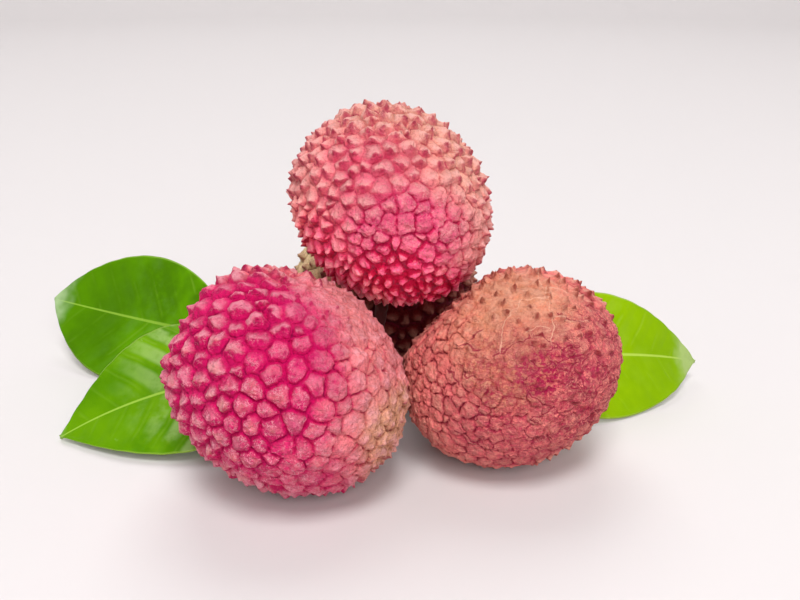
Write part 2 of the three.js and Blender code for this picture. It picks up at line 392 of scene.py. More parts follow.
@dataclass
class Fruit:
    """One lychee: an uneven egg under a net of tubercles."""

    name: str
    slot: str
    centre: Triple
    half: Triple  # long, short and fore-and-aft half-axes over the tips
    tilt: float  # degrees, of the long axis
    relief: float  # height of a tip over the grooves round it
    spacing: float  # least distance between tubercles
    seed: int
    patches: tuple[Patch, ...]
    finer: float = 0.3  # how much smaller fine tubercles are, and how much larger coarse ones
    coarser: float = 0.45
    widest_gaps: float = 0.1  # share of the gaps that are wide enough for a small filler
    filled_gaps: float = 0.75  # share of those that have one
    filler_height: float = 0.6
    least_height: float = 0.76  # of the other tubercles, and how much more the highest have
    more_height: float = 0.4
    points: float = 1.0  # how pointed the tubercles are where no patch says otherwise
    comb: Triple = (0.0, -1.0, 0.1)  # (across, up, out): where steep sides face
    scatter: float = 0.3  # how far they turn from there
    hook: float = 0.8  # how far peaks lie off their tubercle's middle, as a share of the room there
    ridged: float = 0.4  # how far a peak is drawn out sideways
    cones: float = 1.3  # height of the tips that stand out of a smooth rind
    cone_width: float = 0.85
    thorns: float = 0.4  # height of the fine tip on a pointed tubercle, as a share of the relief
    thorn_width: float = 0.34
    hollow: float = 0.62  # half-width of the painted shade in the hollow under a pointed tip
    tip_width: float = 0.46  # half-width and half-height of the dark spot at a tip, partly painted shade
    tip_height: float = 0.42
    groove: float = 0.02  # half-width of a groove's floor, and how much wider it is in two traits
    open_groove: float = 0.1
    crimson_groove: float = 0.28
    bank: float = 0.16  # how far a groove's bank slopes, and how much further where it is open
    open_bank: float = 0.22
    grain: float = 0.16  # height of the fine crumple, and how much less it is on smooth rind
    smooth_grain: float = 0.06
    coarse: float = 1.0  # strength of the fine crumple
    undulation: float = 0.14
    fold_depth: float = 0.2  # of wrinkles
    crack_depth: float = 0.1
    crack_width: float = 0.22
    crack_reach: float = 0.7
    lip_offset: float = 0.45  # of the raised lips along a crack
    lip_width: float = 0.2
    vein_height: float = 0.12
    vein_width: float = 0.2
    vein_reach: float = 0.8
    vein_routes: tuple[tuple[Triple, ...], ...] = ()  # (across, up, out) stops
    flat_toward: Triple | None = None
    flat_from: float = 0.0
    rests: bool = True
    shoulder_rounding: float = 2.2
    dimple_depth: float = 1.4
    dimple_angle: float = 20.0
    cuts: int = 8  # each side of a net triangle is cut in this many
    crack_tries: int = 420

    def turn(self) -> Array:
        """Matrix from the fruit's own axes to the bunch's."""
        turns = ((math.pi / 2 - LEAN, 0, 0), (0, 0, math.radians(self.tilt)))
        return np.array(Euler(turns[0]).to_matrix() @ Euler(turns[1]).to_matrix())

    def stem_way(self) -> Array:
        """Direction of the stem end, which faces the fork."""
        return unit(np.array(FORK) - np.array(self.centre))

    def skin(self, ways: Array) -> Array:
        """Distance from the middle to the skin over the tips.

        Args:
            ways: Directions, one a row.

        Returns:
            One distance a direction.
        """
        own = ways @ self.turn()
        radius = 1 / np.linalg.norm(own / np.array(self.half), axis=1)
        if self.flat_toward:
            facing = ways @ unit(np.array(self.flat_toward))
            plane = self.flat_from / np.maximum(facing, 0.2)
            share = np.clip(0.5 + 0.5 * (plane - radius) / self.shoulder_rounding, 0, 1)
            blend = plane + (radius - plane) * share
            radius = blend - self.shoulder_rounding * share * (1 - share)
        off = degrees_off(ways, self.stem_way())
        return radius - self.dimple_depth * (1 - ramp(0, self.dimple_angle, off))

    def traits(self, ways: Array) -> dict[Trait, Array]:
        """Strength of every trait.

        Args:
            ways: Directions, one a row.

        Returns:
            One array a trait.
        """
        wander = WANDER * rough_clouds(ways, WANDER_SCALE, self.seed + 300)
        found = {trait: np.zeros(len(ways)) for trait in Trait}
        for patch in self.patches:
            found[patch.trait] = np.maximum(found[patch.trait], patch.mask(ways, wander))
        return found

    def tips(self, rng: Rng) -> tuple[Array, Array]:
        """Directions of the tubercle tips.

        Args:
            rng: Source of random numbers.

        Returns:
            The directions, and the angle to the neighbours of each small filler (0 for the rest).
        """
        tries = unit(rng.normal(size=(TRIES, 3)))
        found = self.traits(tries)
        size = (1 - self.finer * found[Trait.FINE]) * (1 + self.coarser * found[Trait.COARSE])
        apart = self.spacing * size / self.skin(tries)
        kept = np.empty((MOST, 3))
        count = 0
        for way, least in zip(tries, apart):
            if count == 0 or (kept[:count] @ way).max() < math.cos(least):
                kept[count] = way
                count += 1
        tips = kept[:count].copy()
        for _ in range(2):
            faces = hull_triangles(tips)
            normals = face_ways(tips, faces)
            middles = np.zeros_like(tips)
            for side in range(3):
                np.add.at(middles, faces[:, side], normals)
            tips = unit(middles)
        faces = hull_triangles(tips)
        normals = face_ways(tips, faces)
        gap = np.arccos(np.clip(dots(normals, tips[faces[:, 0]]), -1, 1))
        filled = gap > np.quantile(gap, 1 - self.widest_gaps)
        filled &= rng.random(len(gap)) < self.filled_gaps
        return np.vstack([tips, normals[filled]]), np.r_[np.zeros(len(tips)), gap[filled]]

    def net(self, weighted: Array, rng: Rng) -> Net:
        """Fine mesh that divides the fruit into tubercles.

        Args:
            weighted: Tip directions, each scaled by how much room its tubercle takes.
            rng: Source of random numbers.

        Returns:
            The net.
        """
        faces = hull_triangles(weighted)
        grooves = face_ways(weighted, faces)
        left_of = {}
        for number, (a, b, c) in enumerate(faces):
            left_of[a, b] = left_of[b, c] = left_of[c, a] = number
        owner = np.array([a for a, _ in left_of])
        left = np.array(list(left_of.values()))
        right = np.array([left_of[b, a] for a, b in left_of])
        home = np.arange(len(grooves))  # the ends of very short grooves become one
        short = np.linalg.norm(grooves[left] - grooves[right], axis=1) < JOIN
        for _ in range(4):
            for a, b in zip(left[short], right[short]):
                home[a] = home[b] = min(home[a], home[b])
        grooves = grooves[home]
        beside = [[] for _ in weighted]
        for a, b in left_of:
            beside[a].append(b)
        widest = max(len(row) for row in beside)
        table = np.array([row + [-1] * (widest - len(row)) for row in beside])
        missing = table < 0
        walls = unit(np.where(missing[:, :, None], 1.0, weighted[:, None, :] - weighted[table]))

        middle = np.zeros_like(weighted)
        np.add.at(middle, owner, grooves[left])
        middle = unit(middle)
        steep = leaning(*self.comb) + self.scatter * rng.normal(size=middle.shape)
        steep = unit(square_to(steep, middle))
        room = np.einsum("ikc,ic->ik", walls, middle)
        closing = -np.einsum("ikc,ic->ik", walls, steep)
        bounded = (closing > 1e-6) & ~missing
        reach = np.divide(room, closing, out=np.full_like(room, np.inf), where=bounded)
        slide = reach.min(axis=1) * self.hook * rng.uniform(0.25, 0.75, len(middle))
        slide *= 1 - 0.6 * self.traits(middle)[Trait.PLATED]
        peaks = unit(middle + slide[:, None] * steep)

        parted = (grooves[left] != grooves[right]).any(axis=1)
        owner, left, right = owner[parted], left[parted], right[parted]
        corners = np.stack([peaks[owner], grooves[right], grooves[left]], axis=1)
        n = self.cuts
        grid = [(i, j) for i in range(n + 1) for j in range(n + 1 - i)]
        number = {place: k for k, place in enumerate(grid)}
        shares = np.array([(n - i - j, i, j) for i, j in grid]) / n
        small = [(number[i, j], number[i + 1, j], number[i, j + 1]) for i, j in grid if i + j < n]
        small += [
            (number[i + 1, j], number[i + 1, j + 1], number[i, j + 1])
            for i, j in grid
            if i + j < n - 1
        ]
        ways = unit(np.einsum("gk,mkc->mgc", shares, corners).reshape(-1, 3))
        triangles = np.arange(len(owner))[:, None, None] * len(grid) + np.array(small)
        rounded = np.round(ways / WELD).astype(np.int64)
        _, first, again = np.unique(rounded, axis=0, return_index=True, return_inverse=True)
        owner = np.repeat(owner, len(grid))[first]
        triangles = again.ravel()[triangles.reshape(-1, 3)]
        return Net(ways[first], triangles, owner, peaks, steep, walls, missing)

    def build(self) -> Object:
        """The fruit's mesh with its masks.

        Returns:
            The new object.
        """
        rng = np.random.default_rng(self.seed)
        tips, fills = self.tips(rng)
        lots = rng.random((len(tips), 4))
        pitch = 1.15 * self.spacing / np.mean(self.half)  # radians from tip to tip
        give = np.where(fills > 0, 0.2 * fills**2, 0.22 * pitch**2 * (lots[:, 0] - 0.5))
        net = self.net(tips * (1 - give[:, None]), rng)
        ways, owner = net.ways, net.owner
        skin = self.skin(ways)
        own = ways * skin[:, None]
        traits = self.traits(ways)
        smooth, wrinkled = traits[Trait.SMOOTH], traits[Trait.WRINKLED]
        loose, crimson = traits[Trait.OPEN], traits[Trait.CRIMSON]
        pointed = np.clip(self.points - traits[Trait.PLATED] + 0.5 * (lots[owner, 1] - 0.5), 0, 1)

        # Each tubercle is a many-sided pyramid, with its sides set by the walls to its neighbours.
        # Its top is chipped at a height and slant of its own, and crimson ground covers its foot.
        peak_gap = np.einsum("ic,ikc->ik", net.peaks, net.walls)
        peak_gap *= rng.uniform(0.75, 1.15, net.missing.shape)
        level = np.abs(np.einsum("ikc,ic->ik", net.walls, net.steep))
        peak_gap *= 1 - self.ridged * (1 - level)
        gap = np.maximum(np.einsum("vc,vkc->vk", ways, net.walls[owner]), 0)
        rise = np.where(net.missing[owner], np.inf, gap / peak_gap[owner])
        side = rise.argmin(axis=1)
        rise = rise.min(axis=1)
        facing = -dots(net.walls[owner, side], net.steep[owner])
        gap = np.where(net.missing[owner], np.inf, gap * skin[:, None])
        edge = np.maximum(-CORNER * np.log(np.exp(-gap / CORNER).sum(axis=1)), 0)
        offset = own - net.peaks[owner] * skin[:, None]
        from_peak = np.linalg.norm(offset, axis=1)
        lean = unit(rng.normal(size=(len(tips), 3)))
        chip = 0.8 + 0.6 * lots[owner, 0] + 0.35 * dots(offset, lean[owner])
        ground = 0.22 * crimson
        facet = np.clip((np.minimum(rise, chip) - ground) / (1 - ground), 0, 1)
        thorn = bell(from_peak, self.thorn_width)
        cone = np.clip(1 - from_peak / self.cone_width, 0, 1)

        # Grooves run between the tubercles, and what stands there is a plate or a point, or has
        # merged with its neighbours in smooth and wrinkled rind.
        gape = self.groove + self.open_groove * loose + self.crimson_groove * crimson
        gape += (0.06 + 0.2 * crimson) * rough_clouds(own, 1.0, self.seed + 50, 2)
        shore = edge - np.maximum(gape, 0)
        bank = ramp(0, 1, shore / (self.bank + self.open_bank * loose))
        crack = 0.6 + 1.3 * rough_clouds(own, 0.5, self.seed + 51, 2) + 0.6 * loose + crimson
        crack = np.clip(crack, 0.1, 1)
        plate = (0.6 + 0.22 * facet + 0.26 * thorn) * (1 - crack * (1 - bank))
        point = (1.1 - self.thorns) * (1 - (1 - facet) ** 1.08) + self.thorns * thorn
        height = plate + (point - plate) * pointed
        grown = self.least_height + self.more_height * lots[:, 2]
        height *= np.where(fills > 0, self.filler_height, grown)[owner]
        height += (0.6 + 0.15 * height + self.cones * cone**1.3 - height) * smooth
        height += (0.55 + 0.3 * height - height) * 0.7 * wrinkled

        # The skin itself is crumpled, folded, cracked and veined.
        crack_off, cracked = self.creases(own, rng)
        vein_off, veined = self.veins(own)
        folds = np.abs(clouds(own * np.array([0.4, 1, 1.1]), 0.65, self.seed + 31))
        folds = self.fold_depth * wrinkled * (1 - ramp(0, 0.4, folds))
        crumple = 0.55 - np.abs(clouds(own, 0.8, self.seed + 20))
        crumple -= 0.6 * np.abs(clouds(own, 0.4, self.seed + 22))
        grain = (self.grain - self.smooth_grain * smooth) * crumple
        grain += self.undulation * rough_clouds(own, 4.0, self.seed + 21)
        grain *= self.coarse * (1 + 0.8 * traits[Trait.DUSTY])
        radius = skin - self.relief * (1 + 0.25 * pointed) * (1 - height) + grain
        radius += self.vein_height * veined * bell(vein_off, self.vein_width) - folds
        lips = bell(np.abs(crack_off) - self.lip_offset, self.lip_width)
        radius += cracked * self.crack_depth * (lips - bell(crack_off, self.crack_width))
        drift = 0.24 * swirl(own, 1.3, self.seed + 40) + 0.14 * swirl(own, 0.5, self.seed + 44)
        points = unit(own + drift) * radius[:, None]
        inner = own * (1 - INNER / skin)[:, None]
        points = seat(points, self.name, inner, SETTLE if self.rests else 0.0)

        # Masks for the finish: the spot on the tip, the lee side below it and the hollow there.
        # The finish darkens the lee side and the hollow: partly deeper rind, partly painted shade.
        down = dots(offset, net.steep[owner])
        across = np.sqrt(np.maximum(from_peak**2 - down**2, 0))
        # The spot is set a little below the peak, on the steep side: painted shade, partly the
        # tip's own colour.
        spot = bell(across, self.tip_width) * bell(down - 0.22, self.tip_height)
        downhill = ramp(-0.05, 0.15, down + 0.2 * clouds(own, 1.6, self.seed + 48))
        lee = downhill * ramp(0.1, 0.6, facing + 0.3 * downhill)
        shade_under_tip = lee * (0.3 + 0.7 * bell(across, self.hollow))
        # Under pointed tips the seam is strongest on the lee side below them: painted shade, partly
        # groove colour.
        seam = ramp(0.15, 1.0, crack) * (1 - pointed) + (0.25 + 0.75 * lee) * pointed
        masks = {
            # rise is lifted away from the lee side, so the finish paints that side paler: painted
            # light.
            "rise": np.clip(height + 0.25 * pointed * (1 - lee), 0, 1.2),
            "shore": np.clip(shore, -1, 1),
            "tip": spot * np.maximum(np.maximum(pointed, smooth), 0.55),
            "pointed": pointed * (1 - smooth) * (1 - wrinkled),
            "hollow": shade_under_tip * pointed * (1 - smooth),
            "lee": lee * (1 - smooth),
            "tone": 0.55 * lots[owner, 3] + 0.45 * rng.random(net.missing.shape)[owner, side],
            "lot": lots[owner, 1],
            "seam": seam * (1 - smooth) * (1 - 0.8 * wrinkled),
            "crease": cracked,
            "crease off": crack_off,
            "vein": veined,
            "vein off": vein_off,
        }
        for trait in (Trait.BLUSH, Trait.TAN, Trait.DUSTY, Trait.CRIMSON, Trait.WRINKLED):
            masks[trait.value] = traits[trait]
        return make_mesh(self.name + "_rind", points, net.triangles, masks)

    def creases(self, own: Array, rng: Rng) -> tuple[Array, Array]:
        """Cracks of the dried rind.

        Args:
            own: Places round the fruit's middle, one a row.
            rng: Source of random numbers.

        Returns:
            What strokes() gives at the places.
        """
        tries = unit(rng.normal(size=(self.crack_tries, 3)))
        lots = rng.uniform(-1, 1, (len(tries), 3))
        chosen = self.traits(tries)[Trait.WRINKLED] > 0.5 + 0.35 * lots[:, 0]
        middles, lots = tries[chosen], lots[chosen]
        level = np.array([1.0, 0.0, 0.0]) + np.outer(lots[:, 1], leaning(0, 0.4, 0))
        level = unit(square_to(level, middles))
        middles = middles * self.skin(middles)[:, None]
        half = level * (0.7 + 0.7 * (1 + lots[:, 2]) ** 2)[:, None]
        bent = own + 0.45 * swirl(own, 0.9, self.seed + 34)
        return strokes(bent, middles - half, middles + half, self.crack_reach)

    def veins(self, own: Array) -> tuple[Array, Array]:
        """Fine raised lines.

        Args:
            own: Places round the fruit's middle, one a row.

        Returns:
            What strokes() gives at the places.
        """
        starts, ends = [], []
        for route in self.vein_routes:
            stops = np.array([leaning(*stop) for stop in route])
            stops = stops * self.skin(stops)[:, None]
            starts.extend(stops[:-1])
            ends.extend(stops[1:])
        bent = own + 0.4 * swirl(own, 1.1, self.seed + 60)
        return strokes(bent, np.array(starts), np.array(ends), self.vein_reach)


RIND_MASKS = (
    "Rise", "Shore", "Tip", "Hollow", "Lee", "Tone", "Lot", "Seam", "Pointed", "Blush", "Tan",
    "Dusty", "Crimson", "Wrinkled", "Crease", "Crease off", "Vein", "Vein off",
)
RIND_COLOURS = (
    "Skin", "Blush skin", "Tan skin", "Groove", "Blush groove", "Tan groove", "Crimson ground",
    "Tip colour", "Pale fleck", "Dark fleck",
)


# ---- Shader wiring ----


class Wiring:
    """Adds nodes to a shader tree and joins them as it goes. Noise scales are in lumps a metre."""

    def __init__(self, tree: Tree) -> None:
        """Starts on a tree."""
        self.tree = tree

    def feed(self, socket: Socket, value: Feed) -> None:
        """Joins a socket to another, or sets it to a number or colour.

        Args:
            socket: An input.
            value: What feeds it.
        """
        if isinstance(value, Socket):
            self.tree.links.new(value, socket)
        else:
            socket.default_value = value

    def add(self, kind: str, settings: dict, sockets: dict) -> bpy.types.Node:
        """New node.

        Args:
            kind: Blender's name of the node type.
            settings: Properties to set on it.
            sockets: What feeds each input, by name or number.

        Returns:
            The node.
        """
        node = self.tree.nodes.new(kind)
        for key, value in settings.items():
            setattr(node, key, value)
        for key, value in sockets.items():
            self.feed(node.inputs[key], value)
        return node

    def mask(self, name: str) -> Socket:
        """A mask that the mesh carries."""
        return self.add("ShaderNodeAttribute", {"attribute_name": name}, {}).outputs["Fac"]

    def group(self, tree: Tree, **sockets: Feed) -> bpy.types.NodeOutputs:
        """Outputs of a node group placed here, with underscores for spaces in its inputs' names."""
        named = {label.replace("_", " "): value for label, value in sockets.items()}
        return self.add("ShaderNodeGroup", {"node_tree": tree}, named).outputs

    def math(self, operation: str, *values: Feed) -> Socket:
        """One step of arithmetic."""
        node = self.add("ShaderNodeMath", {"operation": operation}, dict(enumerate(values)))
        return node.outputs[0]

    def times(self, *values: Feed) -> Socket:
        """Product of two or more values."""
        return reduce(lambda first, second: self.math("MULTIPLY", first, second), values)

    def line(self, value: Feed, factor: Feed, base: Feed) -> Socket:
        """A value times a factor, plus a base."""
        return self.math("MULTIPLY_ADD", value, factor, base)

    def swing(self, noise: Feed, factor: float, base: Feed) -> Socket:
        """Noise round its middle times a factor, plus a base."""
        return self.line(self.math("SUBTRACT", noise, 0.5), factor, base)

    def off(self, value: Feed, middle: float) -> Socket:
        """How far a value is from a middle, on either side."""
        return self.math("ABSOLUTE", self.math("SUBTRACT", value, middle))

    def step(self, value: Feed, low: float, high: float) -> Socket:
        """Smooth ramp.

        Args:
            value: What it follows.
            low: Where it is 0. It may be the larger.
            high: Where it is 1.

        Returns:
            A value from 0 to 1.
        """
        ends = (low, high, 0.0, 1.0) if low < high else (high, low, 1.0, 0.0)
        sockets = dict(zip(("Value", "From Min", "From Max", "To Min", "To Max"), (value, *ends)))
        node = self.add("ShaderNodeMapRange", {"interpolation_type": "SMOOTHSTEP"}, sockets)
        return node.outputs[0]

    def mix(self, share: Feed, first: Feed, second: Feed) -> Socket:
        """Colour between two."""
        sockets = {0: share, 6: first, 7: second}  # the colour ones among the node's many
        return self.add("ShaderNodeMix", {"data_type": "RGBA"}, sockets).outputs[2]

    def layered(self, colour: Feed, layers: Iterable[tuple[Feed, Feed]]) -> Socket:
        """A colour with others laid over it in turn, each as (share, colour)."""
        return reduce(lambda below, layer: self.mix(layer[0], below, layer[1]), layers, colour)

    def noise(self, scale: Feed, detail: float, stretch: Triple | None = None) -> Socket:
        """Random field.

        Args:
            scale: Lumps a metre.
            detail: Number of finer fields added.
            stretch: Factors on the scale along the three axes.

        Returns:
            A value from 0 to 1.
        """
        place = self.add("ShaderNodeTexCoord", {}, {}).outputs["Object"]
        if stretch:
            sockets = {"Vector": place, "Scale": stretch}
            place = self.add("ShaderNodeMapping", {}, sockets).outputs[0]
        sockets = {"Vector": place, "Scale": scale, "Detail": detail, "Roughness": 0.6}
        return self.add("ShaderNodeTexNoise", {}, sockets).outputs[0]

    def spots(self, scale: float, detail: float, low: float, high: float) -> Socket:
        """Random spots: the smooth ramp from low to high of noise."""
        return self.step(self.noise(scale, detail), low, high)


def new_group(name: str, takes: dict[str, str], gives: dict[str, str]) -> tuple:
    """New shader node group.

    Args:
        name: Name of the group.
        takes: Socket kind of each input: "Float", "Color" or "Vector".
        gives: Socket kind of each output.

    Returns:
        The group, a Wiring on it, its input node's outputs and its output node's inputs.
    """
    group = bpy.data.node_groups.new(name, "ShaderNodeTree")
    for way, sockets in (("INPUT", takes), ("OUTPUT", gives)):
        for label, kind in sockets.items():
            group.interface.new_socket(name=label, in_out=way, socket_type="NodeSocket" + kind)
    wiring = Wiring(group)
    entry = wiring.add("NodeGroupInput", {}, {})
    leave = wiring.add("NodeGroupOutput", {}, {})
    return group, wiring, entry.outputs, leave.inputs


def new_material(name: str) -> tuple:
    """New material.

    Args:
        name: Name of the material.

    Returns:
        The material, a Wiring on it, and its shader's inputs.
    """
    made = bpy.data.materials.new(name)
    made.use_nodes = True
    return made, Wiring(made.node_tree), made.node_tree.nodes["Principled BSDF"].inputs


def looks(masks: Iterable[str], colours: Iterable[str], w: Wiring, finish: object) -> dict:
    """What feeds a colour group.

    Args:
        masks: Labels of the masks that it takes from the mesh.
        colours: Labels of the colours that it takes from the finish's fields of the same names.
        w: The material's wiring.
        finish: The finish.

    Returns:
        A socket or colour for each label.
    """
    found = {label: w.mask(label.lower()) for label in masks}
    for label in colours:
        found[label] = paint(getattr(finish, label.lower().replace(" ", "_")))
    return found


def speckle_group() -> Tree:
    """Group that scatters small flecks over a surface.

    Returns:
        The group.
    """
    takes = {"Scale": "Float", "Cover": "Float"}
    group, w, given, out = new_group("Speckle", takes, {"Mask": "Float"})
    over = w.math("SUBTRACT", w.noise(given["Scale"], 3.0), w.line(given["Cover"], -0.3, 0.72))
    w.feed(out["Mask"], w.step(over, 0.0, 0.05))
    return group


def fine_relief_group() -> Tree:
    """Group that gives a surface its finest bumps, too small for the mesh.

    Returns:
        The group.
    """
    takes = {"Scale": "Float", "Strength": "Float", "Depth": "Float"}
    group, w, given, out = new_group("Fine relief", takes, {"Normal": "Vector"})
    height = w.noise(given["Scale"], 4.0)
    sockets = {"Strength": given["Strength"], "Distance": given["Depth"], "Height": height}
    w.feed(out["Normal"], w.add("ShaderNodeBump", {}, sockets).outputs[0])
    return group


def rind_group(speckle: Tree) -> Tree:
    """Group that turns a rind's masks into its colour.

    Args:
        speckle: The speckle group.

    Returns:
        The group.
    """
    takes = dict.fromkeys(RIND_MASKS, "Float") | dict.fromkeys(RIND_COLOURS, "Color")
    group, w, given, out = new_group("Rind", takes, {"Color": "Color", "Roughness": "Float"})
    rise, shore, tip, hollow, lee, tone, lot, seam = (given[label] for label in RIND_MASKS[:8])
    pointed, blush, tan, dusty, crimson, wrinkled = (given[label] for label in RIND_MASKS[8:14])
    pale, dark, blush_groove = given["Pale fleck"], given["Dark fleck"], given["Blush groove"]

    def uneven(zone: Socket) -> Socket:
        """Mask of a zone with its rim broken up, and all of it where the rind is wrinkled."""
        room = w.times(w.math("SUBTRACT", w.line(wrinkled, 0.5, 1.2), zone), zone, 3.0)
        return w.line(room, w.math("SUBTRACT", w.noise(650.0, 4.0), 0.5), zone)

    def by_zone(part: str) -> Socket:
        """Colour of a part of the rind, whichever zone it is in."""
        zones = ((in_tan, given["Tan " + part]), (in_blush, given["Blush " + part]))
        return w.layered(given[part.capitalize()], zones)

    frayed = w.times(w.spots(1500.0, 4.0, 0.48, 0.6), wrinkled)
    in_tan, in_blush = uneven(tan), w.times(uneven(blush), w.line(frayed, -0.75, 1.0))
    groove = w.mix(crimson, by_zone("groove"), given["Crimson ground"])
    deep = w.mix(0.6, groove, blush_groove)
    value = w.times(
        w.line(tone, 0.34, 0.71),  # from tubercle to tubercle and side to side
        w.line(w.noise(420.0, 3.0), 0.5, 0.77),  # in patches
        w.line(w.noise(2600.0, 3.0), 0.8, 0.62),  # in grains
        # brighter where crimson: painted light on the shaded underside
        w.line(crimson, 0.8, 1.0),
    )
    sockets = {"Value": value, "Color": by_zone("skin")}
    plate = w.add("ShaderNodeHueSaturation", {}, sockets).outputs[0]

    # Pale crests and upper sides, partly painted highlight and light from above; darker grooves,
    # hollows and flanks, the hollows partly painted shade; and worn tops.
    crest = w.times(
        w.step(rise, 0.45, 0.85),
        w.spots(900.0, 3.0, 0.3, 0.65),
        w.line(crimson, -0.12, 0.42),
        w.line(blush, w.line(wrinkled, -0.35, -0.55), 1.0),
        w.line(hollow, -0.9, 1.0),
    )
    above = w.math("SUBTRACT", 1.0, lee)
    # Upper sides, away from the lee, turn pale: painted light from above, partly paler rind.
    upper = w.times(pointed, above, w.step(rise, 0.35, 0.9), w.spots(700.0, 3.0, 0.25, 0.6), 0.5)
    depth = w.line(blush, 0.4, 0.55)
    valley = w.times(w.step(w.line(crimson, -0.16, shore), 0.24, 0.02), depth, seam)
    # The hollow under each tip takes the groove colour and dark flecks: painted shade, partly
    # deeper rind.
    hollow_shade = w.times(hollow, w.spots(900.0, 2.0, 0.15, 0.45), depth)
    hollow_dark_shade = w.times(hollow, w.spots(700.0, 2.0, 0.35, 0.6), 0.75)
    flank = w.times(w.step(rise, 0.72, 0.42), blush, 0.6, seam)
    worn = w.times(w.step(rise, 0.6, 0.95), w.spots(420.0, 2.0, 0.42, 0.6), dusty, 0.7)

    # Pale threads, groove floors, folds and the dried rind's lines.
    frill = w.times(
        w.step(w.off(w.noise(2000.0, 4.0), 0.5), 0.055, 0.012),
        w.step(rise, 0.3, 0.65),
        w.spots(800.0, 2.0, 0.42, 0.6),
        w.line(w.times(blush, wrinkled), -0.8, 1.0),
        w.line(dusty, 1.1, 0.16),
    )
    wobble = w.swing(w.noise(2400.0, 2.0), 0.25, 0.0)
    floor = w.times(w.step(w.math("ADD", shore, wobble), 0.1, -0.03), seam)
    # Groove floors darken towards the dark fleck on the lee side: painted shadow under the plates,
    # partly the groove's own colour.
    floor_shade_colour = w.mix(w.line(lee, 0.65, 0.15), groove, dark)
    fold = w.noise(620.0, 4.0, (0.35, 1.0, 1.0))
    dip = w.times(w.step(w.off(fold, 0.47), 0.035, 0.008), wrinkled, 0.6)
    swell = w.times(w.step(fold, 0.54, 0.66), wrinkled, 0.2, w.line(blush, -0.7, 1.0))
    crackle = w.times(w.step(w.off(w.noise(1500.0, 3.0), 0.5), 0.03, 0.008), wrinkled, 0.5)
    shaded = w.math("MAXIMUM", valley, hollow_shade)
    layers = [
        (crest, pale), (upper, pale), (shaded, groove), (hollow_dark_shade, dark), (flank, groove),
        (worn, given["Tan skin"]), (frill, pale), (floor, floor_shade_colour), (dip, deep), (swell, pale),
        (crackle, deep),
    ]
    # The pale band beside each crack is partly raised paler lips, partly painted highlight.
    lines = (("Crease", 0.5, 0.12, pale), ("Crease", 0.18, 0.85, deep), ("Vein", 0.11, 0.75, pale))
    for label, width, strength, tint in lines:
        off = w.math("ABSOLUTE", w.math("ADD", given[label + " off"], wobble))
        layers.append((w.times(w.step(off, width, 0.3 * width), given[label], strength), tint))

    # Flecks, and a dark spot on each tubercle's tip and just below it: partly its own colour,
    # partly painted shade.
    on_top = w.times(w.step(rise, 0.3, 0.75), 0.3)
    for scale, strength, tint in ((3300.0, on_top, pale), (2300.0, 0.26, dark)):
        flecks = w.group(speckle, Scale=scale, Cover=w.line(dusty, 0.5, 0.2))
        layers.append((w.times(flecks[0], strength), tint))
    ragged = w.swing(w.noise(1500.0, 3.0), 1.1, tip)
    capped = w.times(w.step(ragged, 0.2, 0.95), w.step(lot, -0.3, 0.7), 0.8)
    layers.append((capped, w.mix(w.times(blush, 0.7), given["Tip colour"], blush_groove)))
    w.feed(out["Color"], w.layered(plate, layers))
    w.feed(out["Roughness"], w.line(w.noise(1500.0, 2.0), 0.3, 0.5))
    return group


@dataclass(frozen=True)
class RindFinish:
    """Colours of one fruit's rind."""

    name: str
    skin: str
    blush_skin: str
    tan_skin: str
    groove: str
    blush_groove: str
    tan_groove: str
    crimson_ground: str = "#7a0020"
    tip_colour: str = "#8a3438"
    pale_fleck: str = "#e9b7ac"
    dark_fleck: str = "#7c1230"

    def material(self, rind: Tree, relief: Tree) -> Material:
        """The finish as a material.

        Args:
            rind: The rind group.
            relief: The fine relief group.

        Returns:
            The material.
        """
        made, w, shader = new_material(self.name)
        look = w.group(rind, **looks(RIND_MASKS, RIND_COLOURS, w, self))
        bumps = w.group(relief, Scale=1500.0, Strength=0.9, Depth=0.0014)
        w.feed(shader["Base Color"], look["Color"])
        w.feed(shader["Roughness"], look["Roughness"])
        w.feed(shader["Normal"], bumps[0])
        shader["Specular IOR Level"].default_value = 0.16
        return made


# ---- Leaves ----


LEAF_MASKS = ("Along", "Across", "Reach", "Share", "Under")
LEAF_COLOURS = ("Deep", "Bright", "Vein", "Underside", "Pale")


